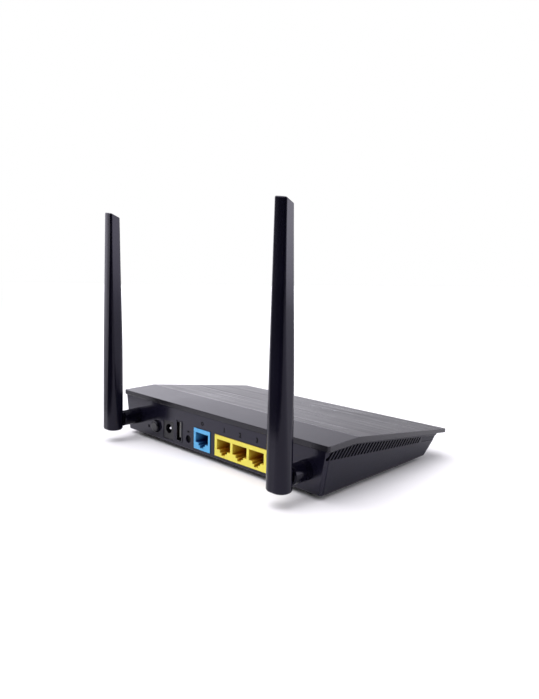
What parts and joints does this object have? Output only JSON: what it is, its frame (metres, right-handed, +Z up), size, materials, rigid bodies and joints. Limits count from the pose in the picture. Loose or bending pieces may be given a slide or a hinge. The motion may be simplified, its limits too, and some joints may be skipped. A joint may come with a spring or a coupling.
{
  "type": "wireless router",
  "caption": "Low wedge-shaped desktop wireless router with a creased top cover, slanted side vents, rear network sockets and folding blade antennas.",
  "frame": {"origin": "on the surface the router stands on, under the middle of the whole object with its antennas upright", "axes": "+Z up, +Y towards the rear panel with the sockets and antennas, +X to the right of someone facing the front"},
  "size_m": [0.1876, 0.1457, 0.1532],
  "materials": {
    "cover_plastic": "fine streaked satin black",
    "housing_plastic": "satin black, lightly textured",
    "antenna_plastic": "satin black",
    "hinge_plastic": "semi-gloss black",
    "button_plastic": "satin black",
    "button_rubber": "matt black",
    "socket_black": "matt black",
    "wan_blue": "semi-gloss sky blue",
    "lan_yellow": "semi-gloss yellow",
    "contact_metal": "plated",
    "inlet_pin_metal": "bright nickel plate",
    "usb_metal": "plated sheet steel",
    "usb_tongue_plastic": "off-white",
    "screw_steel": "black zinc",
    "heat_sink_metal": "anodised",
    "shield_metal": "tinned",
    "board": "green solder mask",
    "chip": "moulded epoxy",
    "capacitor_sleeve": "shrink sleeve",
    "ferrite": "sintered",
    "led": "epoxy lens",
    "clear_plastic": "clear moulded",
    "label": "blank printed film",
    "cable_jacket": "extruded jacket",
    "rubber": "moulded"
  },
  "bodies": {
    "root": {"top_cover": "cover_plastic", "bottom_housing": "housing_plastic", "rubber_feet": "rubber", "housing_screws": "screw_steel", "board_screws": "screw_steel", "rating_label": "label", "main_board": "board", "processor": "chip", "memory_chips": "chip", "ethernet_transformers": "chip", "heat_sink": "heat_sink_metal", "filter_capacitors": "capacitor_sleeve", "power_inductor": "ferrite", "clock_crystal": "shield_metal", "radio_shields": "shield_metal", "indicator_leds": "led", "light_guide": "clear_plastic", "wan_jack": "wan_blue", "lan_jack_block": "lan_yellow", "wan_contacts": "contact_metal", "lan_contacts": "contact_metal", "dc_jack": "socket_black", "dc_center_pin": "inlet_pin_metal", "usb_shell": "usb_metal", "usb_tongue": "usb_tongue_plastic", "usb_contacts": "contact_metal", "power_switch": "socket_black", "wps_switch": "socket_black", "reset_switch": "socket_black", "antenna_sockets": "contact_metal", "left_coax_lead": "cable_jacket", "right_coax_lead": "cable_jacket"},
    "power_button": {"power_button": "button_plastic"},
    "wps_button": {"wps_button": "button_rubber"},
    "reset_plunger": {"reset_plunger": "button_plastic"},
    "left_swivel": {"left_antenna_base": "hinge_plastic", "left_retaining_clip": "button_plastic"},
    "left_blade": {"left_antenna_sleeve": "antenna_plastic", "left_hinge_pin": "contact_metal", "left_antenna_element": "board"},
    "right_swivel": {"right_antenna_base": "hinge_plastic", "right_retaining_clip": "button_plastic"},
    "right_blade": {"right_antenna_sleeve": "antenna_plastic", "right_hinge_pin": "contact_metal", "right_antenna_element": "board"}
  },
  "joints": [
    {"name": "left_antenna_swivel", "type": "hinge", "parent": "root", "child": "left_swivel", "pos_m": [-0.0777, 0.06715, 0.014], "axis": [0, 1, 0], "range_deg": [-90, 90]},
    {"name": "left_antenna_fold", "type": "hinge", "parent": "left_swivel", "child": "left_blade", "pos_m": [-0.0777, 0.06715, 0.014], "axis": [-1, 0, 0], "range_deg": [0, 90]},
    {"name": "right_antenna_swivel", "type": "hinge", "parent": "root", "child": "right_swivel", "pos_m": [0.0777, 0.06715, 0.014], "axis": [0, 1, 0], "range_deg": [-90, 90]},
    {"name": "right_antenna_fold", "type": "hinge", "parent": "right_swivel", "child": "right_blade", "pos_m": [0.0777, 0.06715, 0.014], "axis": [-1, 0, 0], "range_deg": [0, 90]},
    {"name": "power_button_press", "type": "slide", "parent": "root", "child": "power_button", "axis": [0, -1, 0], "range_m": [0, 0.0015], "stiffness_N_per_m": 600, "springref_m": -0.0006},
    {"name": "wps_button_press", "type": "slide", "parent": "root", "child": "wps_button", "axis": [0, -1, 0], "range_m": [0, 0.0007], "stiffness_N_per_m": 800, "springref_m": -0.0003},
    {"name": "reset_press", "type": "slide", "parent": "root", "child": "reset_plunger", "axis": [0, -1, 0], "range_m": [0, 0.0005], "stiffness_N_per_m": 800, "springref_m": -0.0003}
  ]
}
